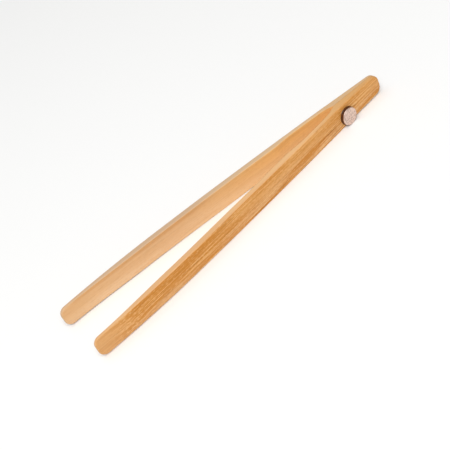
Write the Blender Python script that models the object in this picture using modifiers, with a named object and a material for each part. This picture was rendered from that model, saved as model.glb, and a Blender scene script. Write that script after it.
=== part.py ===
"""Bamboo kitchen tongs that spring open by themselves. Blender 4.5, metres, +Z up.

Two flat bamboo arms are glued heel to heel at the head, at +X, and stand apart at the tips,
at -X. The outer face of each arm runs straight out from the heel, bows out a little on its
way and curves in at the tip. The inner face is planed thin just in front of the heel, and
that thin neck is the spring. The near arm is on the -Y side and carries a round magnet. The
tongs lie on the narrow edges of their arms, with the origin under the middle of their box.

Each arm is cut at the middle of its neck into a heel and a blade, because the blade turns
there about a vertical axis when the tongs are squeezed.
"""
import math

import bmesh
import bpy
from mathutils import Matrix, Vector

MM = 0.001

# Driving dimensions. "Along" is the distance from the tips' end.
LENGTH = 235 * MM
ARM_WIDTH = 14.5 * MM
TIP_WIDTH = 12.9 * MM
HEAD_WIDTH = 12.3 * MM
WIDE_FROM = 105 * MM
WIDE_TO = 195 * MM
TIP_CORNER = 4.5 * MM
HEAD_CORNER = 4.8 * MM

HALF_ANGLE = math.radians(5.2)
HEAD_HALF = 1.9 * MM
ARM_BOW = 1.2 * MM
BLADE_THICK = 4.2 * MM
NECK_THICK = 2.8 * MM
TIP_THICK = 2.2 * MM
TIP_THIN_TO = 56 * MM
TIP_CURVE = 3.0 * MM
TIP_CURVE_TO = 73 * MM
NECK_THIN_FROM = 154 * MM
NECK_THIN_TO = 171 * MM
NECK_HINGE = 180 * MM
NECK_END = 185 * MM
SLOT_END = 200 * MM

EDGE_ROUND = 0.6 * MM
GAP = 0.3 * MM
HEEL_GLUE = 0.2 * MM
STATION = 4 * MM
END_SEGMENTS = 10

MAGNET_ALONG = 204 * MM
MAGNET_DROP = 1.65 * MM
MAGNET_RADIUS = 5.5 * MM
MAGNET_PROUD = 2.4 * MM
MAGNET_CHAMFER = 0.4 * MM
MAGNET_GLUE = 0.2 * MM

# Worked out from the driving dimensions.
LEAN = math.tan(HALF_ANGLE)
THICK_ACROSS = 1 / math.cos(HALF_ANGLE)
HEEL_FACE = HEEL_GLUE / 2 + GAP
MID_HEIGHT = ARM_WIDTH / 2
MAGNET_BASE = GAP + MAGNET_GLUE + GAP
CLEAR = 10 * MM


def ease(t):
    """Rise from 0 to 1 with level ends."""
    t = min(max(t, 0), 1)
    return t * t * (3 - 2 * t)


def outer_y(along):
    """Distance of an arm's outer face from the middle plane."""
    straight = HEAD_HALF + LEAN * (LENGTH - along)
    part_way = min(along / SLOT_END, 1)
    bow_out = 4 * part_way * (1 - part_way)
    curve_in = max(0, 1 - along / TIP_CURVE_TO) ** 2
    return straight + ARM_BOW * bow_out - TIP_CURVE * curve_in


def thickness(along):
    """An arm's thickness in front of the slot's end: thin tip, full blade, thin neck."""
    tip = TIP_THICK + (BLADE_THICK - TIP_THICK) * ease(along / TIP_THIN_TO)
    neck = ease((along - NECK_THIN_FROM) / (NECK_THIN_TO - NECK_THIN_FROM))
    thick = tip - (BLADE_THICK - NECK_THICK) * neck
    if along > NECK_END:
        full = (outer_y(SLOT_END) - HEEL_FACE) / THICK_ACROSS
        rise = (along - NECK_END) / (SLOT_END - NECK_END)
        thick += (full - NECK_THICK) * rise ** 3
    return thick


def inner_y(along):
    """Distance of an arm's inner face from the middle plane."""
    if along >= SLOT_END:
        return HEEL_FACE
    return outer_y(along) - thickness(along) * THICK_ACROSS


def half_width(along):
    """Half of an arm's width, widest between WIDE_FROM and WIDE_TO."""
    to_tip = max(0, 1 - along / WIDE_FROM)
    to_head = max(0, (along - WIDE_TO) / (LENGTH - WIDE_TO))
    width = ARM_WIDTH - (ARM_WIDTH - TIP_WIDTH) * to_tip - (ARM_WIDTH - HEAD_WIDTH) * to_head
    return width / 2


def stations(start, end):
    """Evenly spaced distances along the arm, both ends included."""
    count = max(1, round((end - start) / STATION))
    return [start + (end - start) * i / count for i in range(count + 1)]


def to_x(along):
    """Turn a distance from the tips' end into an X position."""
    return along - LENGTH / 2


def filled_outline(name, points, half_depth):
    """Make a flat outline into a closed plate on the XY plane, half_depth thick each way."""
    curve = bpy.data.curves.new(name, "CURVE")
    curve.dimensions = "2D"
    curve.fill_mode = "BOTH"
    curve.extrude = half_depth
    spline = curve.splines.new("POLY")
    spline.points.add(len(points) - 1)
    for point, (x, y) in zip(spline.points, points):
        point.co = (x, y, 0, 1)
    spline.use_cyclic_u = True
    guide = bpy.data.objects.new(name, curve)
    bpy.context.scene.collection.objects.link(guide)
    bpy.context.view_layer.update()
    graph = bpy.context.evaluated_depsgraph_get()
    mesh = bpy.data.meshes.new_from_object(guide.evaluated_get(graph))
    mesh.name = name
    bpy.data.objects.remove(guide)
    bpy.data.curves.remove(curve)
    weld(mesh)
    return mesh


def weld(mesh):
    """Join the loose caps of a mesh to its walls and point its faces out."""
    bm = bmesh.new()
    bm.from_mesh(mesh)
    bmesh.ops.remove_doubles(bm, verts=bm.verts, dist=0.01 * MM)
    bmesh.ops.recalc_face_normals(bm, faces=bm.faces)
    bm.to_mesh(mesh)
    bm.free()


def add_object(name, mesh, collection, location=(0, 0, 0)):
    """Put a mesh in the scene as a named object."""
    thing = bpy.data.objects.new(name, mesh)
    thing.location = location
    collection.objects.link(thing)
    return thing


def as_cutter(thing):
    """Mark an object as a cutter: drawn as wire and left out of renders."""
    thing.display_type = "WIRE"
    thing.hide_render = True
    return thing


def add_boolean(thing, cutter, operation):
    """Cut or clip an object with another one."""
    boolean = thing.modifiers.new(cutter.name, "BOOLEAN")
    boolean.object = cutter
    boolean.operation = operation
    boolean.solver = "EXACT"


def add_bevel(thing, width, segments):
    """Round the sharp edges of an object."""
    bevel = thing.modifiers.new("rounded_edges", "BEVEL")
    bevel.width = width
    bevel.segments = segments
    bevel.limit_method = "ANGLE"
    bevel.angle_limit = math.radians(40)


def make_material(name, colour, roughness, metallic):
    """A plain surface for one sub-part."""
    material = bpy.data.materials.new(name)
    material.use_nodes = True
    shader = material.node_tree.nodes["Principled BSDF"]
    shader.inputs["Base Color"].default_value = (*colour, 1)
    shader.inputs["Roughness"].default_value = roughness
    shader.inputs["Metallic"].default_value = metallic
    material.diffuse_color = (*colour, 1)
    return material


def width_outline():
    """The arm seen square to its face: straight tapers between two blunt, rounded ends."""
    tip_flat = half_width(TIP_CORNER) - TIP_CORNER
    head_flat = half_width(LENGTH - HEAD_CORNER) - HEAD_CORNER
    quarter = [math.pi / 2 * i / END_SEGMENTS for i in range(END_SEGMENTS + 1)]
    top = [(TIP_CORNER * (1 - math.cos(a)), tip_flat + TIP_CORNER * math.sin(a))
           for a in quarter]
    top += [(WIDE_FROM, ARM_WIDTH / 2), (WIDE_TO, ARM_WIDTH / 2)]
    top += [(LENGTH - HEAD_CORNER * (1 - math.sin(a)), head_flat + HEAD_CORNER * math.cos(a))
            for a in quarter]
    bottom = [(along, -z) for along, z in reversed(top)]
    return [(to_x(along), z) for along, z in top + bottom]


def side_outline(side, start, end):
    """The arm seen from above, from start to end along it, on the side +1 or -1."""
    spots = stations(start, end)
    if start < SLOT_END < end:
        spots = stations(start, SLOT_END) + [LENGTH]
    outer = [(to_x(along), side * outer_y(along)) for along in spots]
    inner = [(to_x(along), side * inner_y(along)) for along in reversed(spots)]
    return outer + inner


def make_width_cutter(name, origin, cutters):
    """A deep block with the arm's outline in width, standing along Y."""
    mesh = filled_outline(name, width_outline(), outer_y(0) + CLEAR)
    mesh.transform(Matrix.Rotation(math.pi / 2, 4, "X"))
    mesh.transform(Matrix.Translation(Vector((0, 0, MID_HEIGHT)) - origin))
    return as_cutter(add_object(name, mesh, cutters, origin))


def make_cut_block(name, low_x, high_x, origin, cutters):
    """A block over one end of the tongs, which takes that end of an arm away."""
    bm = bmesh.new()
    bmesh.ops.create_cube(bm, size=1)
    size = Vector((high_x - low_x, 2 * (outer_y(0) + CLEAR), ARM_WIDTH + 2 * CLEAR))
    bmesh.ops.scale(bm, vec=size, verts=bm.verts)
    middle = Vector(((low_x + high_x) / 2, 0, MID_HEIGHT))
    bmesh.ops.translate(bm, vec=middle - origin, verts=bm.verts)
    mesh = bpy.data.meshes.new(name)
    bm.to_mesh(mesh)
    bm.free()
    return as_cutter(add_object(name, mesh, cutters, origin))


def make_arm_piece(name, side, origin, cut_from, cut_to, bamboo, collection, cutters):
    """One arm of bamboo, whole in its shape, less what lies between cut_from and cut_to."""
    mesh = filled_outline(name, side_outline(side, 0, LENGTH), MID_HEIGHT + CLEAR)
    mesh.transform(Matrix.Translation(Vector((0, 0, MID_HEIGHT)) - origin))
    mesh.materials.append(bamboo)
    piece = add_object(name, mesh, collection, origin)
    add_boolean(piece, make_width_cutter(name + "_width", origin, cutters), "INTERSECT")
    add_bevel(piece, EDGE_ROUND, 2)
    block = make_cut_block(name + "_end", to_x(cut_from), to_x(cut_to), origin, cutters)
    add_boolean(piece, block, "DIFFERENCE")
    return piece


def make_heel_glue(material, collection, cutters):
    """The film of glue between the two heels, from the slot's end to the head's end."""
    origin = Vector((0, 0, 0))
    start = to_x(SLOT_END + GAP)
    end = to_x(LENGTH + CLEAR)
    half = HEEL_GLUE / 2
    corners = [(start, -half), (end, -half), (end, half), (start, half)]
    mesh = filled_outline("heel_glue", corners, MID_HEIGHT + CLEAR)
    mesh.transform(Matrix.Translation((0, 0, MID_HEIGHT)))
    mesh.materials.append(material)
    film = add_object("heel_glue", mesh, collection)
    add_boolean(film, make_width_cutter("heel_glue_width", origin, cutters), "INTERSECT")
    return film


def magnet_frame():
    """Where the magnet's axis leaves the near heel's outer face, its +Z pointing outwards."""
    out = Vector((math.sin(HALF_ANGLE), -math.cos(HALF_ANGLE), 0))
    up = Vector((0, 0, 1))
    turn = Matrix((up.cross(out), up, out)).transposed()
    spot = Vector((to_x(MAGNET_ALONG), -outer_y(MAGNET_ALONG), MID_HEIGHT - MAGNET_DROP))
    return spot, turn


def make_disc(name, radius, low, high, collection, chamfer=0):
    """A disc on the magnet's axis, from low to high above the heel's outer face."""
    bm = bmesh.new()
    bmesh.ops.create_cone(bm, cap_ends=True, segments=48, radius1=radius, radius2=radius,
                          depth=high - low)
    mesh = bpy.data.meshes.new(name)
    bm.to_mesh(mesh)
    bm.free()
    mesh.shade_smooth()
    mesh.set_sharp_from_angle(angle=math.radians(30))
    spot, turn = magnet_frame()
    disc = add_object(name, mesh, collection, spot + turn @ Vector((0, 0, (low + high) / 2)))
    disc.rotation_euler = turn.to_euler()
    if chamfer:
        add_bevel(disc, chamfer, 2)
    return disc


def hinge_point(side):
    """The middle of a neck, on its joint's axis."""
    middle = (outer_y(NECK_HINGE) + inner_y(NECK_HINGE)) / 2
    return Vector((to_x(NECK_HINGE), side * middle, MID_HEIGHT))


for old in list(bpy.data.objects):
    bpy.data.objects.remove(old)

tongs = bpy.data.collections.new("bamboo_tongs")
tools = bpy.data.collections.new("cutters")
bpy.context.scene.collection.children.link(tongs)
bpy.context.scene.collection.children.link(tools)

near_bamboo = make_material("near_bamboo", (0.66, 0.37, 0.14), 0.45, 0)
far_bamboo = make_material("far_bamboo", (0.74, 0.46, 0.22), 0.45, 0)
nickel = make_material("nickel_plate", (0.62, 0.57, 0.52), 0.3, 1)
heel_adhesive = make_material("heel_adhesive", (0.35, 0.18, 0.06), 0.5, 0)
magnet_adhesive = make_material("magnet_adhesive", (0.12, 0.05, 0.02), 0.4, 0)

for arm_name, arm_side, arm_bamboo in (("near", -1, near_bamboo), ("far", 1, far_bamboo)):
    make_arm_piece(arm_name + "_heel", arm_side, Vector((0, 0, 0)), -CLEAR,
                   NECK_HINGE + GAP / 2, arm_bamboo, tongs, tools)
    make_arm_piece(arm_name + "_blade", arm_side, hinge_point(arm_side), NECK_HINGE - GAP / 2,
                   LENGTH + CLEAR, arm_bamboo, tongs, tools)

make_heel_glue(heel_adhesive, tongs, tools)

pad = make_disc("magnet_glue", MAGNET_RADIUS, GAP, GAP + MAGNET_GLUE, tongs)
pad.data.materials.append(magnet_adhesive)
magnet = make_disc("magnet_disc", MAGNET_RADIUS, MAGNET_BASE, MAGNET_PROUD, tongs,
                   MAGNET_CHAMFER)
magnet.data.materials.append(nickel)
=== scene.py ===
# %% [markdown]
# # Bamboo kitchen tongs
# Two flat strips of bamboo are glued together at one end, the head, and stand apart at the
# other, the tips. Just in front of the glued heels each strip is planed thin, and that thin
# neck is the spring. A round plated magnet is glued to the outside of the near strip.
# The imported CAD model gives the frame: every size below fits around it. It is loaded first,
# and its box is kept so that it can be printed beside the finished model's box at the end.

# %% Load the frame
import math

import bmesh
import bpy
from mathutils import Matrix, Vector


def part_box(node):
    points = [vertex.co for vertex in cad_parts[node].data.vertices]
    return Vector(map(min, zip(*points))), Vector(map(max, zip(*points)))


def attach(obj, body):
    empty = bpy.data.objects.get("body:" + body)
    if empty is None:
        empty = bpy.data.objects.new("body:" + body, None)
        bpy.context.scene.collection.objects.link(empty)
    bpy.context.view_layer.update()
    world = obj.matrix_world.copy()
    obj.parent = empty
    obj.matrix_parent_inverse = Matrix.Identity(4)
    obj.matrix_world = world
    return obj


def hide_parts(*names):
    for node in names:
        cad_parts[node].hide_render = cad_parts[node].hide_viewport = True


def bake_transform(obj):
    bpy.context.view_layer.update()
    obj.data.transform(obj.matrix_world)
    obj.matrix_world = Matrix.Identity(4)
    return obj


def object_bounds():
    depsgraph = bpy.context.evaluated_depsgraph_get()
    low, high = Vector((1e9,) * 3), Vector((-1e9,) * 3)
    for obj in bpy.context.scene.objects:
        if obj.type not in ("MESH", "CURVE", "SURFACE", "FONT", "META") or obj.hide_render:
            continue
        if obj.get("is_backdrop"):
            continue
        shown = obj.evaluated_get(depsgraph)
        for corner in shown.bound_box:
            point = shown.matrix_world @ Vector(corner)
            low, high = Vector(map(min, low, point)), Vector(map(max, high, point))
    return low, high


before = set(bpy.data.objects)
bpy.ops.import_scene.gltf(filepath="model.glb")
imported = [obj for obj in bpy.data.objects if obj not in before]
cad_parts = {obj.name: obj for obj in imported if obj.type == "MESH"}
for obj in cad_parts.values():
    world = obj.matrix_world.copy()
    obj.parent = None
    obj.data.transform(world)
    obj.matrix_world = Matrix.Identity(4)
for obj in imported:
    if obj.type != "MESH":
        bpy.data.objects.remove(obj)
cad_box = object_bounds()
for node_name in sorted(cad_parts):
    low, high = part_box(node_name)
    print(node_name, [round(v * 1000, 1) for v in low], [round(v * 1000, 1) for v in high])

# %% [markdown]
# ## The shape of one strip
# A strip is easiest to describe as a maker would: by how far its two faces stand from the
# plane between the strips, at each distance along it. "Along" starts at the tips. The outer
# face runs out straight from the heel with a slight bow and curves in at the tip. The inner
# face follows it at the strip's thickness: thin tip, full blade, thin neck, and then a curve
# that brings it to the glue.

# %% Sizes of a strip
MM = 0.001
LENGTH = cad_box[1].x - cad_box[0].x
STRIP_WIDTH = cad_box[1].z - cad_box[0].z
MID_HEIGHT = STRIP_WIDTH / 2
TIP_WIDTH = 12.9 * MM
HEAD_WIDTH = 12.3 * MM
WIDE_FROM = 105 * MM
WIDE_TO = 195 * MM
TIP_CORNER = 4.5 * MM
HEAD_CORNER = 4.8 * MM

LEAN_ANGLE = math.radians(5.2)
LEAN = math.tan(LEAN_ANGLE)
THICK_ACROSS = 1 / math.cos(LEAN_ANGLE)
HEAD_HALF = 1.9 * MM
BOW = 1.2 * MM
TIP_CURVE = 3.0 * MM
TIP_CURVE_TO = 73 * MM
BLADE_THICK = 4.2 * MM
NECK_THICK = 2.8 * MM
TIP_THICK = 2.2 * MM
TIP_THIN_TO = 56 * MM
NECK_FROM = 154 * MM
NECK_TO = 171 * MM
NECK_END = 185 * MM
SLOT_END = 200 * MM
GLUE_HALF = 0.1 * MM


def ease(t):
    """Rise from 0 to 1 with level ends."""
    t = min(max(t, 0), 1)
    return t * t * (3 - 2 * t)


def outer_face(along):
    """How far a strip's outer face stands from the middle plane."""
    part_way = min(along / SLOT_END, 1)
    bow = BOW * 4 * part_way * (1 - part_way)
    curve_in = TIP_CURVE * max(0, 1 - along / TIP_CURVE_TO) ** 2
    return HEAD_HALF + LEAN * (LENGTH - along) + bow - curve_in


def inner_face(along):
    """How far a strip's inner face stands from the middle plane."""
    if along >= SLOT_END:
        return GLUE_HALF
    tip = TIP_THICK + (BLADE_THICK - TIP_THICK) * ease(along / TIP_THIN_TO)
    neck = ease((along - NECK_FROM) / (NECK_TO - NECK_FROM))
    thick = tip - (BLADE_THICK - NECK_THICK) * neck
    full = (outer_face(SLOT_END) - GLUE_HALF) / THICK_ACROSS
    rise = max(0, (along - NECK_END) / (SLOT_END - NECK_END))
    thick += (full - NECK_THICK) * rise ** 3
    return outer_face(along) - thick * THICK_ACROSS


def half_width(along):
    """Half of a strip's width: straight tapers to the tip and to the head."""
    to_tip = max(0, 1 - along / WIDE_FROM)
    to_head = max(0, (along - WIDE_TO) / (LENGTH - WIDE_TO))
    narrow = (STRIP_WIDTH - TIP_WIDTH) * to_tip + (STRIP_WIDTH - HEAD_WIDTH) * to_head
    return (STRIP_WIDTH - narrow) / 2


TIP_HALF_WIDTH = half_width(TIP_CORNER)
HEAD_HALF_WIDTH = half_width(LENGTH - HEAD_CORNER)
for spot in (0, 50, 100, 150, 180, 200):
    outer, inner, half = (face(spot * MM) / MM for face in (outer_face, inner_face, half_width))
    print(f"at {spot} mm: outer {outer:.2f}, inner {inner:.2f}, half width {half:.2f} mm")

# %% [markdown]
# ## Sawing the outline
# A flat face with a few corners stands for the sawn board. Its four end corners are rounded
# with a vertex bevel a little smaller than half the width, which leaves the ends blunt. Cuts
# across the board then give it the stations at which it can bend: wide apart on the straight
# blade, and close together in the neck, where the curves are tight.

# %% Outline and stations
END_SEGMENTS = 12
BLADE_STEP = 3 * MM
NECK_STEP = 1.5 * MM
SAME_POINT = 0.002 * MM


def sawn_outline(bm, corners, rounded):
    """A flat face through (along, height) corners; rounded gives a radius to some of them."""
    verts = [bm.verts.new((along, 0, height)) for along, height in corners]
    bm.faces.new(verts)
    for radius, picked in rounded:
        bmesh.ops.bevel(bm, geom=[verts[i] for i in picked], offset=radius, affect="VERTICES",
                        segments=END_SEGMENTS, profile=0.5, material=-1)
    bmesh.ops.remove_doubles(bm, verts=bm.verts, dist=SAME_POINT)


def cut_stations(bm, start, end, step):
    """Cut straight across the board at even steps from start to end."""
    count = round((end - start) / step)
    for i in range(count + 1):
        along = start + (end - start) * i / count
        everything = bm.verts[:] + bm.edges[:] + bm.faces[:]
        bmesh.ops.bisect_plane(bm, geom=everything, plane_co=(along, 0, 0),
                               plane_no=(1, 0, 0), dist=SAME_POINT)


def strip_board():
    """The flat board of a strip, with its outline sawn and its stations cut."""
    bm = bmesh.new()
    tip, wide, head = TIP_HALF_WIDTH, STRIP_WIDTH / 2, HEAD_HALF_WIDTH
    corners = [(0, -tip), (WIDE_FROM, -wide), (WIDE_TO, -wide), (LENGTH, -head),
               (LENGTH, head), (WIDE_TO, wide), (WIDE_FROM, wide), (0, tip)]
    sawn_outline(bm, corners, [(TIP_CORNER, (0, 7)), (HEAD_CORNER, (3, 4))])
    cut_stations(bm, TIP_CORNER, NECK_FROM, BLADE_STEP)
    cut_stations(bm, NECK_FROM, SLOT_END, NECK_STEP)
    cut_stations(bm, SLOT_END, LENGTH - HEAD_CORNER, BLADE_STEP)
    return bm


board = strip_board()
print("board:", len(board.verts), "vertices,", len(board.faces), "faces")
board.free()

# %% [markdown]
# ## Thickness and curve
# The flat board is extruded once to give it an inner side. Each vertex is then moved to the
# face that it belongs to, at its own distance along, as if the strip were planed and steamed
# to shape. The near strip lies on the -Y side and the far strip on the +Y side, so one
# number, side, tells them apart.

# %% Thick and curved


def planed_strip(side):
    """A closed strip with sharp edges, in its place in the tongs."""
    bm = strip_board()
    for v in bm.verts:
        v.co.y = outer_face(v.co.x)
    raised = bmesh.ops.extrude_face_region(bm, geom=bm.faces[:])["geom"]
    for v in (g for g in raised if isinstance(g, bmesh.types.BMVert)):
        v.co.y = inner_face(v.co.x)
    bmesh.ops.scale(bm, vec=(1, side, 1), verts=bm.verts)
    bmesh.ops.translate(bm, vec=(-LENGTH / 2, 0, MID_HEIGHT), verts=bm.verts)
    bmesh.ops.recalc_face_normals(bm, faces=bm.faces)
    return bm


# %% [markdown]
# ## Rounded edges
# Sanding has rounded every long edge by almost a millimetre, but the edges along the glue
# stay crisp. A Bevel modifier limited by weight does both: its width is the full rounding,
# and each edge's weight says how much of it that edge gets. The weight dies away towards the
# end of the slot. The modifier is applied at once.

# %% Round the edges
EDGE_ROUND = 0.9 * MM
EDGE_SEGMENTS = 4
GLUED_SHARE = 0.12
ROUND_FADE = 14 * MM
RIM_ANGLE = math.radians(60)


def rounding_share(along, from_middle):
    """How much of the full rounding a strip's edge has: all of it, or less along the glue."""
    if from_middle > (outer_face(along) + inner_face(along)) / 2:
        return 1
    return GLUED_SHARE + (1 - GLUED_SHARE) * ease((SLOT_END - along) / ROUND_FADE)


def weigh_rims(bm):
    """Give the edges between the faces and the narrow walls their share of the rounding."""
    weights = bm.edges.layers.float.new("bevel_weight_edge")
    rims = [e for e in bm.edges if e.calc_face_angle(0) > RIM_ANGLE]
    for edge in rims:
        middle = (edge.verts[0].co + edge.verts[1].co) / 2
        edge[weights] = rounding_share(middle.x + LENGTH / 2, abs(middle.y))
    return len(rims)


def placed_object(name, bm):
    """Put a bmesh into the scene as a piece whose object sits at the origin."""
    mesh = bpy.data.meshes.new(name)
    bm.to_mesh(mesh)
    bm.free()
    mesh.shade_smooth()
    piece = bpy.data.objects.new(name, mesh)
    bpy.context.scene.collection.objects.link(piece)
    return piece


def apply_modifiers(piece):
    """Replace a piece's mesh by what its modifiers make of it."""
    bpy.context.view_layer.update()
    graph = bpy.context.evaluated_depsgraph_get()
    finished = bpy.data.meshes.new_from_object(piece.evaluated_get(graph))
    piece.modifiers.clear()
    piece.data = finished


def make_strip(name, side):
    """One finished bamboo strip, still without its finish."""
    bm = planed_strip(side)
    rims = weigh_rims(bm)
    strip = placed_object(name, bm)
    rounding = strip.modifiers.new("sanded_edges", "BEVEL")
    rounding.limit_method = "WEIGHT"
    rounding.width = EDGE_ROUND
    rounding.segments = EDGE_SEGMENTS
    rounding.use_clamp_overlap = False
    rounding.harden_normals = True
    apply_modifiers(strip)
    print(name, "has", rims, "rounded edges and", len(strip.data.polygons), "faces")
    return strip


near_strip = make_strip("near_strip", side=-1)
far_strip = make_strip("far_strip", side=1)

# %% [markdown]
# ## Coordinates that follow the wood
# Grain belongs to the strip and has to bend with it, so it can't be read from the scene.
# Every vertex gets its own place in the wood instead: how far along the strip it is, how
# high above its middle line, and how deep under the outer face. A second number tells how
# near it is to the outline, where the edge tone lies: wood worn by hands and sandpaper, with
# painted sheen on the near strip and painted grey shade on the far one. It is divided by the
# edge's share of the rounding, so that the edge tone ends where the rounding does.

# %% Wood coordinates


def distance_from_outline(along, height):
    """How far a point of a strip lies inside its outline."""
    to_end, corner = min((along, TIP_CORNER), (LENGTH - along, HEAD_CORNER))
    to_side = half_width(along) - abs(height)
    if to_end < corner and to_side < corner:
        return corner - math.hypot(corner - to_end, corner - to_side)
    return min(to_end, to_side)


def add_wood_coordinates(strip, side):
    """Store (along, height, depth) and the distance from the outline on every vertex."""
    places, rims = [], []
    for v in strip.data.vertices:
        along, height = v.co.x + LENGTH / 2, v.co.z - MID_HEIGHT
        places += [along, height, outer_face(along) - side * v.co.y]
        share = rounding_share(along, side * v.co.y)
        rims.append(distance_from_outline(along, height) / share)
    strip.data.attributes.new("wood", "FLOAT_VECTOR", "POINT")
    strip.data.attributes["wood"].data.foreach_set("vector", places)
    strip.data.attributes.new("rim", "FLOAT", "POINT")
    strip.data.attributes["rim"].data.foreach_set("value", rims)
    print(f"{strip.name}: depth up to {max(places[2::3]) / MM:.2f} mm")


add_wood_coordinates(near_strip, side=-1)
add_wood_coordinates(far_strip, side=1)

# %% [markdown]
# ## The line of glue
# Between the heels the glue is a film 0.2 mm thick, and only its rim can be seen: a fine
# darker line from the end of the slot round the head. The film is sawn like the strips, just
# short of their outline, so that the line lies in the small groove between their edges.

# %% Glue between the heels
GLUE_SHORT = 0.06 * MM


def make_heel_glue():
    """The film of glue between the heels, from the end of the slot to the head's end."""
    bm = bmesh.new()
    start, end = SLOT_END, LENGTH - GLUE_SHORT
    wide, head = half_width(start) - GLUE_SHORT, HEAD_HALF_WIDTH - GLUE_SHORT
    corners = [(start, -wide), (end, -head), (end, head), (start, wide)]
    sawn_outline(bm, corners, [(HEAD_CORNER - GLUE_SHORT, (1, 2))])
    cut_stations(bm, SLOT_END + BLADE_STEP, LENGTH - HEAD_CORNER, BLADE_STEP)
    for v in bm.verts:
        v.co.y = -GLUE_HALF
    raised = bmesh.ops.extrude_face_region(bm, geom=bm.faces[:])["geom"]
    far_side = [g for g in raised if isinstance(g, bmesh.types.BMVert)]
    bmesh.ops.scale(bm, vec=(1, -1, 1), verts=far_side)
    bmesh.ops.translate(bm, vec=(-LENGTH / 2, 0, MID_HEIGHT), verts=bm.verts)
    bmesh.ops.recalc_face_normals(bm, faces=bm.faces)
    return placed_object("heel_glue_line", bm)


heel_glue_line = make_heel_glue()
print("glue line:", len(heel_glue_line.data.polygons), "faces")

# %% [markdown]
# ## The magnet
# A nickel-plated disc, 11 mm across, stands 2.4 mm proud of the near heel, a little below
# the middle of the strip. A cone with two equal radii gives its body. The front rim is
# rounded, and an inset keeps the flat face flat when it is shaded smooth. The disc is made
# on the Z axis and then carried to its place, with its own Z pointing out of the wood.

# %% Magnet
MAGNET_ALONG = 204 * MM
MAGNET_DROP = 1.65 * MM
MAGNET_RADIUS = 5.5 * MM
MAGNET_PROUD = 2.4 * MM
MAGNET_RIM = 0.35 * MM
FLAT_INSET = 0.15 * MM
ROUND_SEGMENTS = 96
SHARP_ANGLE = math.radians(40)


def magnet_place():
    """The turn and place that carry the Z axis onto the magnet's axis."""
    out = Vector((LEAN, -1, 0)).normalized()
    up = Vector((0, 0, 1))
    turn = Matrix((up.cross(out), up, out)).transposed().to_4x4()
    spot = (MAGNET_ALONG - LENGTH / 2, -outer_face(MAGNET_ALONG), MID_HEIGHT - MAGNET_DROP)
    return Matrix.Translation(spot) @ turn


def make_magnet():
    """The disc magnet, resting on the wood."""
    bm = bmesh.new()
    bmesh.ops.create_cone(bm, cap_ends=True, segments=ROUND_SEGMENTS, depth=MAGNET_PROUD,
                          radius1=MAGNET_RADIUS, radius2=MAGNET_RADIUS)
    bmesh.ops.translate(bm, vec=(0, 0, MAGNET_PROUD / 2), verts=bm.verts)
    front = max(bm.faces, key=lambda face: face.calc_center_median().z)
    bmesh.ops.bevel(bm, geom=front.edges[:], offset=MAGNET_RIM, segments=EDGE_SEGMENTS,
                    profile=0.5, affect="EDGES", material=-1)
    front = max(bm.faces, key=lambda face: face.calc_center_median().z)
    bmesh.ops.inset_region(bm, faces=[front], thickness=FLAT_INSET)
    bmesh.ops.transform(bm, matrix=magnet_place(), verts=bm.verts)
    magnet = placed_object("disc_magnet", bm)
    magnet.data.set_sharp_from_angle(angle=SHARP_ANGLE)
    return magnet


disc_magnet = make_magnet()
print("magnet box:", [round(v / MM, 2) for v in disc_magnet.bound_box[0]],
      [round(v / MM, 2) for v in disc_magnet.bound_box[6]])

# %% [markdown]
# ## Glue and painted shade round the magnet
# Epoxy was squeezed out from under the magnet and makes the collar's foot. Above it a thin
# dark sheet covers the magnet's wall: this is painted shade, standing in for the wall's own
# shadow and its dark reflection of the wood, so the wall looks almost black-brown from the
# side. Spinning a small profile round the magnet's axis makes this collar: wide at its foot,
# thin where it ends under the rounded rim. Below the magnet it was wiped off, a tenth of a
# millimetre above the strip's lower edge.

# %% Glue and shade collar
# Each point is a distance outside the magnet's wall and a height over the wood.
COLLAR = ((0.0, -0.7), (0.3, -0.7), (0.3, 0.02), (0.18, 0.1), (0.1, 0.35), (0.07, 0.8),
          (0.05, 1.7), (0.02, 1.92), (-0.02, 1.95))
WIPED_SHORT = 0.1 * MM


def make_glue_and_shade_collar():
    """The glue round the magnet's foot, from inside the wood, and painted shade up its wall."""
    bm = bmesh.new()
    points = [bm.verts.new((MAGNET_RADIUS + out * MM, 0, height * MM)) for out, height in COLLAR]
    ring = [bm.edges.new(pair) for pair in zip(points, points[1:] + points[:1])]
    bmesh.ops.spin(bm, geom=points + ring, cent=(0, 0, 0), axis=(0, 0, 1), dvec=(0, 0, 0),
                   angle=math.tau, steps=ROUND_SEGMENTS, use_merge=True, use_duplicate=False)
    bmesh.ops.remove_doubles(bm, verts=bm.verts, dist=SAME_POINT)
    bmesh.ops.transform(bm, matrix=magnet_place(), verts=bm.verts)
    wiped = MID_HEIGHT - half_width(MAGNET_ALONG) + WIPED_SHORT
    for v in bm.verts:
        v.co.z = max(v.co.z, wiped)
    bmesh.ops.recalc_face_normals(bm, faces=bm.faces)
    return placed_object("magnet_glue_and_shade_collar", bm)


magnet_glue_and_shade_collar = make_glue_and_shade_collar()
print("collar:", len(magnet_glue_and_shade_collar.data.polygons), "faces")

# %% [markdown]
# ## Helpers for materials
# Colours are written as sRGB hex values, as a paint chart gives them, and one function turns
# them into the linear values that shaders need. Another adds a node, sets its fields and
# joins its inputs to values or to other nodes' outputs. Two more start an empty material and
# feed its shader at the end.

# %% Material helpers


def linear(hex_colour):
    """Turn an sRGB colour such as "d79b5f" into linear red, green, blue and alpha."""
    parts = [int(hex_colour[i:i + 2], 16) / 255 for i in (0, 2, 4)]
    return (*[c / 12.92 if c <= 0.04045 else ((c + 0.055) / 1.055) ** 2.4 for c in parts], 1)


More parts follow.
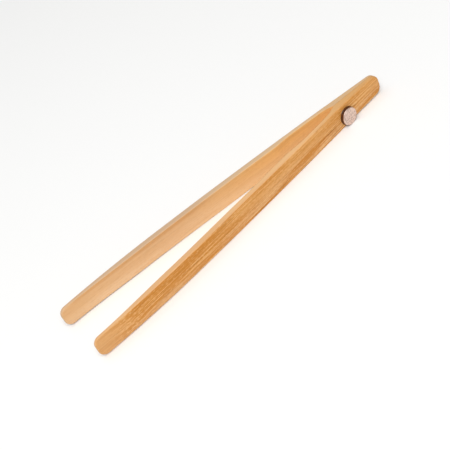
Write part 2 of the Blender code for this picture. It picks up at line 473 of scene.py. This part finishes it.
def add_node(tree, kind, inputs=(), **settings):
    """Add a node, set its fields, and feed its inputs with values or with sockets."""
    made = tree.nodes.new(kind)
    for field, value in settings.items():
        setattr(made, field, value)
    for socket, value in dict(inputs).items():
        if isinstance(value, bpy.types.NodeSocket):
            tree.links.new(value, made.inputs[socket])
        else:
            made.inputs[socket].default_value = value
    return made


def new_material(name):
    """An empty node material with its shader, ready for its pattern."""
    material = bpy.data.materials.new(name)
    material.use_nodes = True
    return material, material.node_tree, material.node_tree.nodes["Principled BSDF"]


def feed(tree, shader, **sockets):
    """Join sockets to the shader's inputs, whose names are written with _ for a space."""
    for name, value in sockets.items():
        socket = shader.inputs[name.replace("_", " ")]
        if isinstance(value, bpy.types.NodeSocket):
            tree.links.new(value, socket)
        else:
            socket.default_value = value


# %% [markdown]
# ## Two patterns that the finishes share
# Wood, glue and plating all need noise whose cells have a real size in millimetres. All of
# them are also painted in layers: a tone is laid over a colour where some value, such as a
# noise or a height, runs from one limit to another. Each of the two is a pair of nodes.

# %% Noise and layers


def stretched_noise(tree, place, cell, detail=2.0, shift=0.0):
    """Noise from 0 to 1, whose cells measure (along, across, deep) in millimetres."""
    scaled = add_node(tree, "ShaderNodeMapping",
                      {"Vector": place, "Scale": [1 / (size * MM) for size in cell],
                       "Location": (shift, shift, shift)})
    return add_node(tree, "ShaderNodeTexNoise", {"Vector": scaled.outputs[0], "Scale": 1.0,
                                                 "Detail": detail}).outputs[0]


def lay_tone(tree, under, tone, value, low, high, share):
    """Lay a tone over a colour, from nothing where value is low to its share at high."""
    shown = add_node(tree, "ShaderNodeMapRange",
                     {"Value": value, "From Min": low, "From Max": high, "To Max": share},
                     interpolation_type="SMOOTHSTEP")
    return add_node(tree, "ShaderNodeMix", {0: shown.outputs[0], 6: under, 7: tone},
                    data_type="RGBA").outputs[2]


# %% [markdown]
# ## Where the fibres run
# Bamboo has no rings. It is a bundle of fibres that run dead straight along the cane, except
# at its nodes, where they swirl over a centimetre or two. Noise stretched along the strip
# gives straight fibres. Near the node a second noise pushes the height up and down before
# the first one reads it, so that the same fibres bend there. A dictionary keeps the places
# that the finishes read. The name of a noise's cell size ends in CELL.

# %% Grain
NODE_CORE = 4 * MM
NODE_REACH = 15 * MM
NODE_CALM = 30 * MM
NODE_PUSH = 1.8 * MM
SWIRL_CELL = (3, 1.6, 6)


def wood_grain(tree, node_at, shift):
    """A strip's own coordinates, the distance from its node, and its bent fibres' place."""
    place = add_node(tree, "ShaderNodeAttribute", attribute_name="wood").outputs["Vector"]
    along, height, depth = add_node(tree, "ShaderNodeSeparateXYZ", {"Vector": place}).outputs
    from_node = add_node(tree, "ShaderNodeMath", {0: along, 1: node_at}, operation="SUBTRACT")
    from_node = add_node(tree, "ShaderNodeMath", {0: from_node.outputs[0]},
                         operation="ABSOLUTE").outputs[0]
    reach = add_node(tree, "ShaderNodeMapRange",
                     {"Value": from_node, "From Min": NODE_CORE, "From Max": NODE_REACH,
                      "To Min": NODE_PUSH, "To Max": 0.0}, interpolation_type="SMOOTHSTEP")
    swirl = stretched_noise(tree, place, SWIRL_CELL, detail=1.0, shift=shift)
    pushed = add_node(tree, "ShaderNodeMath", {0: swirl, 1: reach.outputs[0], 2: height},
                      operation="MULTIPLY_ADD")
    grain = add_node(tree, "ShaderNodeCombineXYZ",
                     {"X": along, "Y": pushed.outputs[0], "Z": depth}).outputs[0]
    return {"place": place, "along": along, "height": height, "depth": depth,
            "from_node": from_node, "grain": grain}


# %% [markdown]
# ## The body of the bamboo
# The fibres are packed tight and dark under the cane's skin and thin out inwards, where the
# tissue between them is paler. So the colour starts from the depth: honey on the outer face,
# peach on the inner one. Towards the neck the inner face turns brighter and warmer; this is
# painted light, warm light bounced between the strips, laid on to lift the shade in the slot.
# The lower half is paler, partly in the wood and partly as painted light bounced up from the
# white floor. Over all this lie soft amber bands some millimetres wide, and an amber stain
# along the upper edge.

# %% Bamboo body
SKIN = 0.3 * MM
UNDER_SKIN = 1.4 * MM
NECK_BOUNCE_LIGHT_FROM = 70 * MM
NECK_BOUNCE_LIGHT_TO = 170 * MM
LOW_TONE_AND_BOUNCE_SPAN = 5 * MM
BAND_CELL = (60, 4, 3)
STAIN_BLUR = 6 * MM
STAIN_FADE = 25 * MM


def amber_stain(tree, colour, amber, wood, stain):
    """Lay the amber stain on a stretch of the strip, stronger towards its upper edge."""
    begun = add_node(tree, "ShaderNodeMapRange",
                     {"Value": wood["along"], "From Min": stain["start"] - STAIN_BLUR,
                      "From Max": stain["start"] + STAIN_BLUR, "To Max": stain["share"]},
                     interpolation_type="SMOOTHSTEP")
    stained = add_node(tree, "ShaderNodeMapRange",
                       {"Value": wood["along"], "From Min": stain["end"],
                        "From Max": stain["end"] + STAIN_FADE,
                        "To Min": begun.outputs[0], "To Max": 0.0},
                       interpolation_type="SMOOTHSTEP")
    return lay_tone(tree, colour, amber, wood["height"], stain["none_at"], stain["full_at"],
                    share=stained.outputs[0])


def bamboo_body(tree, tone, amber, wood, stain, shift):
    """The soft, broad colours and painted light of a strip, before its fibres are drawn."""
    depth = wood["depth"]
    # Painted light: towards the neck the inner tone turns brighter and warmer, for light bounced
    # between the strips.
    inside = lay_tone(tree, tone["inner"], tone["neck"], wood["along"], NECK_BOUNCE_LIGHT_FROM, NECK_BOUNCE_LIGHT_TO,
                      share=1.0)
    colour = lay_tone(tree, tone["outer"], inside, depth, SKIN, UNDER_SKIN, share=1.0)
    # Partly painted light: the lower half is paler wood, and paler still as painted light
    # bounced up from the white floor.
    low = lay_tone(tree, tone["low"], tone["inner_low_and_bounce_light"], depth, SKIN, UNDER_SKIN, share=1.0)
    colour = lay_tone(tree, colour, low, wood["height"], LOW_TONE_AND_BOUNCE_SPAN, -LOW_TONE_AND_BOUNCE_SPAN,
                      share=0.6)
    band = stretched_noise(tree, wood["grain"], BAND_CELL, shift=shift)
    bands = add_node(tree, "ShaderNodeMapRange",
                     {"Value": depth, "From Min": SKIN, "From Max": UNDER_SKIN,
                      "To Min": 0.7, "To Max": 0.2})
    colour = lay_tone(tree, colour, amber, band, low=0.44, high=0.62, share=bands.outputs[0])
    return amber_stain(tree, colour, amber, wood, stain)


# %% [markdown]
# ## How strongly the lines show
# Streaks under a millimetre wide, dark and pale side by side, and single fibres of half a
# millimetre make the lines. Real fibres are finer still, but they would blur into a flat
# tone at any distance. The lines come in groups with calm wood between them. They are
# fainter towards the upper edge and at the node, and faintest on the inner face. One number
# holds all of this, and every kind of line is laid with it as its share, so that they fade
# together.

# %% Line strength
GROUP_CELL = (80, 2.5, 4)
CALM_FROM = 0.5 * MM
CALM_TO = 4 * MM


def line_strength(tree, wood, shift):
    """How strongly the fibres show: in groups, less at the node, faintly on the inner face."""
    group = stretched_noise(tree, wood["grain"], GROUP_CELL, detail=1.0, shift=shift)
    upper = add_node(tree, "ShaderNodeMapRange",
                     {"Value": wood["height"], "From Min": CALM_FROM, "From Max": CALM_TO,
                      "To Min": 1.0, "To Max": 0.45})
    calm = add_node(tree, "ShaderNodeMapRange",
                    {"Value": wood["from_node"], "From Min": NODE_CORE, "From Max": NODE_CALM,
                     "To Min": 0.4, "To Max": upper.outputs[0]})
    grouped = add_node(tree, "ShaderNodeMapRange",
                       {"Value": group, "From Min": 0.38, "From Max": 0.58, "To Min": 0.25,
                        "To Max": calm.outputs[0]})
    return add_node(tree, "ShaderNodeMapRange",
                    {"Value": wood["depth"], "From Min": SKIN, "From Max": UNDER_SKIN,
                     "To Min": grouped.outputs[0], "To Max": 0.12}).outputs[0]


# %% [markdown]
# ## Flecks, worn places and painted edge light
# Short flecks are the cut ends of vessels, and they crowd at the node. They are a noise of
# small cells, read at the wood's own place, so they don't swirl as the fibres do. The narrow
# edges are paler, though less so at the head: partly the wood that sanding opens, partly
# painted light, a painted sheen on the near strip and a painted grey shade on the far one.
# The distance from the outline, which every vertex carries, says where, so one material does
# for the whole strip. The tips are a little washed out all over, because they are dipped in
# hot food and rinsed most often.

# %% Flecks, worn places and edge light
FLECK_CELL = (2.2, 0.9, 0.9)
HEAD_TONE_FROM = 165 * MM
HEAD_TONE_TO = 215 * MM
EDGE_TONE_NONE = 0.7 * MM
EDGE_TONE_FULL = 0.1 * MM
WASHED_NONE = 28 * MM
WASHED_FULL = 3 * MM


def add_flecks(tree, colour, tone, amber, wood, shift):
    """Scatter short dark and pale flecks, most of them at the node."""
    fleck = stretched_noise(tree, wood["place"], FLECK_CELL, shift=shift)
    crowd = add_node(tree, "ShaderNodeMapRange",
                     {"Value": wood["from_node"], "From Min": NODE_CORE,
                      "From Max": NODE_REACH, "To Min": 0.55, "To Max": 0.3}).outputs[0]
    crowd = add_node(tree, "ShaderNodeMapRange",
                     {"Value": wood["depth"], "From Min": SKIN, "From Max": UNDER_SKIN,
                      "To Min": crowd, "To Max": 0.15}).outputs[0]
    colour = lay_tone(tree, colour, amber, fleck, low=0.52, high=0.64, share=crowd)
    return lay_tone(tree, colour, tone["pale"], fleck, low=0.46, high=0.34, share=crowd)


def wear_and_edge_light(tree, colour, tone, wood):
    """Lay the edge tone, sanded wood and painted light, and the washed tone on the tip."""
    rim = add_node(tree, "ShaderNodeAttribute", attribute_name="rim").outputs["Fac"]
    # Edge tone: partly paler sanded wood, partly painted light, sheen on the near strip and grey
    # shade on the far one.
    edge = lay_tone(tree, tone["edge"], tone["head_edge"], wood["along"], HEAD_TONE_FROM,
                    HEAD_TONE_TO, share=1.0)
    colour = lay_tone(tree, colour, edge, rim, EDGE_TONE_NONE, EDGE_TONE_FULL, share=0.7)
    washed = add_node(tree, "ShaderNodeMapRange",
                      {"Value": wood["depth"], "From Min": SKIN, "From Max": UNDER_SKIN,
                       "To Min": 0.65, "To Max": 0.3}).outputs[0]
    return lay_tone(tree, colour, tone["washed"], wood["along"], WASHED_NONE, WASHED_FULL,
                    washed)


# %% [markdown]
# ## Two pieces of one cane
# The same steps finish both strips: the body, the lines, the flecks, and last the edge and
# washed tones, because wear and the painted edge light cover whatever lies under them. Each
# kind of line is a noise of its own, and a tone goes on where that noise is high, or where it
# is low. Only the tones of the edges, the place of the node, the stain and the shift of the
# noise tell the two strips apart: the near edges carry a painted sheen, the far ones a
# painted grey shade.

# %% Bamboo
STREAK_CELL = (50, 0.75, 1)
THREAD_CELL = (22, 0.5, 0.5)
THREAD_HEIGHT = 0.06 * MM


def bamboo(name, tones, node_at, stain, shift):
    """Sanded and lightly oiled bamboo: satin, warm, and lined along the strip."""
    material, tree, shader = new_material(name)
    tone = {part: linear(hex_colour) for part, hex_colour in tones.items()}
    wood = wood_grain(tree, node_at, shift + 3)
    amber = lay_tone(tree, tone["amber"], tone["inner_amber"], wood["depth"], SKIN,
                     UNDER_SKIN, share=1.0)
    colour = bamboo_body(tree, tone, amber, wood, stain, shift)

    lines = line_strength(tree, wood, shift + 17)
    streak = stretched_noise(tree, wood["grain"], STREAK_CELL, shift=shift + 11)
    colour = lay_tone(tree, colour, amber, streak, low=0.51, high=0.6, share=lines)
    colour = lay_tone(tree, colour, tone["pale"], streak, low=0.47, high=0.38, share=lines)
    thread = stretched_noise(tree, wood["grain"], THREAD_CELL, detail=1.0, shift=shift + 23)
    colour = lay_tone(tree, colour, tone["fibre"], thread, low=0.55, high=0.72, share=lines)
    colour = add_flecks(tree, colour, tone, amber, wood, shift + 31)
    colour = wear_and_edge_light(tree, colour, tone, wood)

    satin = add_node(tree, "ShaderNodeMapRange",
                     {"Value": streak, "From Min": 0.3, "From Max": 0.7, "To Min": 0.55,
                      "To Max": 0.45})
    bump = add_node(tree, "ShaderNodeBump",
                    {"Height": thread, "Strength": 0.3, "Distance": THREAD_HEIGHT})
    feed(tree, shader, Base_Color=colour, Roughness=satin.outputs[0], Normal=bump.outputs[0],
         Specular_IOR_Level=0.3)
    return material


# The neck tone is painted warm light bounced between the strips; the two low tones are partly
# paler wood and partly painted light bounced up from the floor.
CANE = {"outer": "dda058", "low": "dbad7e", "amber": "c67e24", "fibre": "9c5f22",
        "pale": "efbe7e", "inner": "e7bb8a", "neck": "fbc87e", "inner_low_and_bounce_light": "e8c69e",
        "inner_amber": "d89c5a", "washed": "d9a46c"}
# A stain has its start and end along the strip, the heights where there is none of it and
# where it is full, and its share.
NEAR_STAIN = {"start": 24 * MM, "end": 85 * MM, "none_at": -5 * MM, "full_at": 1.5 * MM,
              "share": 0.85}
FAR_STAIN = {"start": 10 * MM, "end": 90 * MM, "none_at": 3.5 * MM, "full_at": 5.5 * MM,
             "share": 0.6}
# The edge tones are partly sanded wood and partly painted light: a painted sheen on the near
# strip's edges, a painted grey shade on the far strip's.
near_bamboo = bamboo("sanded_bamboo_near", {**CANE, "edge": "e6b888", "head_edge": "d09c64"},
                     node_at=24 * MM, stain=NEAR_STAIN, shift=0.0)
far_bamboo = bamboo("sanded_bamboo_far", {**CANE, "edge": "cab095", "head_edge": "c9aa8a"},
                    node_at=221 * MM, stain=FAR_STAIN, shift=40.0)
near_strip.data.materials.append(near_bamboo)
far_strip.data.materials.append(far_bamboo)
print("bamboo:", len(near_bamboo.node_tree.nodes), "nodes")

# %% [markdown]
# ## Glues and plating
# The wood glue is close to the bamboo's own colour, the epoxy is much darker and glossier;
# where it climbs the magnet's wall, its dark colour is painted shade.
# The magnet is plated with nickel that handling has dulled: a satin metal with a warm cast,
# blotched by fingers and dimpled finely all over.

# %% Glue and nickel
CLOUD_CELL = (2, 2, 2)
BLOTCH_CELL = (0.9, 0.9, 0.9)
DIMPLE_CELL = (0.8, 0.8, 0.8)
DIMPLE_HEIGHT = 0.08 * MM


def cured_glue(name, colour, dark, roughness):
    """A cured glue with soft cloudy patches two millimetres across."""
    material, tree, shader = new_material(name)
    place = add_node(tree, "ShaderNodeTexCoord").outputs["Object"]
    cloud = stretched_noise(tree, place, CLOUD_CELL)
    colour = lay_tone(tree, linear(colour), linear(dark), cloud, low=0.4, high=0.6, share=1.0)
    feed(tree, shader, Base_Color=colour, Roughness=roughness)
    return material


def nickel_plate(name):
    """Satin nickel plating, blotched by handling and finely dimpled."""
    material, tree, shader = new_material(name)
    place = add_node(tree, "ShaderNodeTexCoord").outputs["Object"]
    blotch = stretched_noise(tree, place, BLOTCH_CELL, detail=3.0)
    colour = lay_tone(tree, linear("e6cec0"), linear("c6aea2"), blotch, low=0.42, high=0.6,
                      share=1.0)
    satin = add_node(tree, "ShaderNodeMapRange",
                     {"Value": blotch, "From Min": 0.3, "From Max": 0.7, "To Min": 0.36,
                      "To Max": 0.52})
    dimple = stretched_noise(tree, place, DIMPLE_CELL, shift=5)
    bump = add_node(tree, "ShaderNodeBump",
                    {"Height": dimple, "Strength": 0.25, "Distance": DIMPLE_HEIGHT})
    feed(tree, shader, Base_Color=colour, Metallic=1.0, Normal=bump.outputs[0],
         Roughness=satin.outputs[0])
    return material


wood_glue = cured_glue("cured_wood_glue", "c8935c", "b47f48", roughness=0.5)
# Dark brown: glue at the collar's foot, painted shade where it covers the magnet's wall.
epoxy = cured_glue("epoxy_and_painted_shade", "5a3012", "3c1e0a", roughness=0.35)
heel_glue_line.data.materials.append(wood_glue)
magnet_glue_and_shade_collar.data.materials.append(epoxy)
disc_magnet.data.materials.append(nickel_plate("satin_nickel_plate"))
print("materials:", [m.name for m in bpy.data.materials if m.users])

# %% [markdown]
# ## Riding on the frame
# Each new piece stands for CAD nodes, which are hidden. The glue line, the magnet and its
# collar move with the head's body; the strips are baked where they lie and follow no body.

for strip, arm in ((near_strip, "near"), (far_strip, "far")):
    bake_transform(strip)
    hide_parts(arm + "_heel", arm + "_blade")
for piece, node_name, slot in ((heel_glue_line, "heel_glue", "wood_glue"),
                               (disc_magnet, "magnet_disc", "nickel"),
                               (magnet_glue_and_shade_collar, "magnet_glue", "epoxy")):
    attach(piece, "head")
    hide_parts(node_name)

# %% [markdown]
# ## Floor and light
# The tongs lie on a plain white floor. Most of the light comes from one large softbox, high
# on the side of the near strip, which shows the grain and keeps the shadows faint. A weaker
# one above and behind lifts the upper edges, and a white world fills the rest.

# %% Stage
FLOOR_SIZE = 6
WORLD_STRENGTH = 0.3


def make_floor():
    """A large pale floor under the tongs."""
    bm = bmesh.new()
    bmesh.ops.create_grid(bm, x_segments=1, y_segments=1, size=FLOOR_SIZE / 2)
    floor = placed_object("floor", bm)
    material, tree, shader = new_material("white_floor")
    feed(tree, shader, Base_Color=linear("fcfcfb"), Roughness=0.9, Specular_IOR_Level=0.1)
    floor.data.materials.append(material)
    floor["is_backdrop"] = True


def add_lamp(name, place, size, watts):
    """A square area lamp that faces the tongs."""
    light = bpy.data.lights.new(name, "AREA")
    light.size = size
    light.energy = watts
    lamp = bpy.data.objects.new(name, light)
    lamp.location = place
    lamp.rotation_euler = Vector(place).to_track_quat("Z", "Y").to_euler()
    bpy.context.scene.collection.objects.link(lamp)


make_floor()
add_lamp("top_softbox", place=(-0.4, 0.5, 2.2), size=1.8, watts=11)
add_lamp("front_softbox", place=(-0.52, -1.28, 1.97), size=1.7, watts=46)
world = bpy.data.worlds.new("white_tent")
bpy.context.scene.world = world
world.use_nodes = True
background = world.node_tree.nodes["Background"]
background.inputs["Color"].default_value = (1, 1, 1, 1)
background.inputs["Strength"].default_value = WORLD_STRENGTH
bpy.context.scene.view_settings.view_transform = "Standard"

# %% [markdown]
# ## Camera
# The camera looks down over the near strip from the tips' side and is rolled, so that the
# tongs run up to the right. Its place is worked out from the middle of the object: a
# distance back along the line of sight, then a little aside and down.

# %% Camera
AZIMUTH = math.radians(-20.7)
ELEVATION = math.radians(38.21)
ROLL = math.radians(27.49)
DISTANCE = 600 * MM
ASIDE = -6.6 * MM
RAISED = -13.99 * MM
FOCAL_LENGTH = 83.4
SENSOR_WIDTH = 36
NEAREST = 0.05

back = Vector((math.sin(AZIMUTH) * math.cos(ELEVATION),
               -math.cos(AZIMUTH) * math.cos(ELEVATION), math.sin(ELEVATION)))
level_right = Vector((math.cos(AZIMUTH), math.sin(AZIMUTH), 0))
level_up = back.cross(level_right)
right = level_right * math.cos(ROLL) - level_up * math.sin(ROLL)
up = level_right * math.sin(ROLL) + level_up * math.cos(ROLL)
eye = Vector((0, 0, MID_HEIGHT)) + back * DISTANCE + right * ASIDE + up * RAISED

lens = bpy.data.cameras.new("camera")
lens.lens = FOCAL_LENGTH
lens.sensor_width = SENSOR_WIDTH
lens.clip_start = NEAREST
camera = bpy.data.objects.new("camera", lens)
camera.matrix_world = Matrix.Translation(eye) @ Matrix((right, up, back)).transposed().to_4x4()
bpy.context.scene.collection.objects.link(camera)
bpy.context.scene.camera = camera
print("camera at", [round(v, 3) for v in eye])

# %% [markdown]
# ## The sizes
# The finished model has to stay inside the CAD model's box.

# %% Sizes
visual_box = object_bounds()
for label, (low, high) in (("CAD", cad_box), ("visual", visual_box)):
    print(label, [round(v / MM, 2) for v in (*low, *high)])
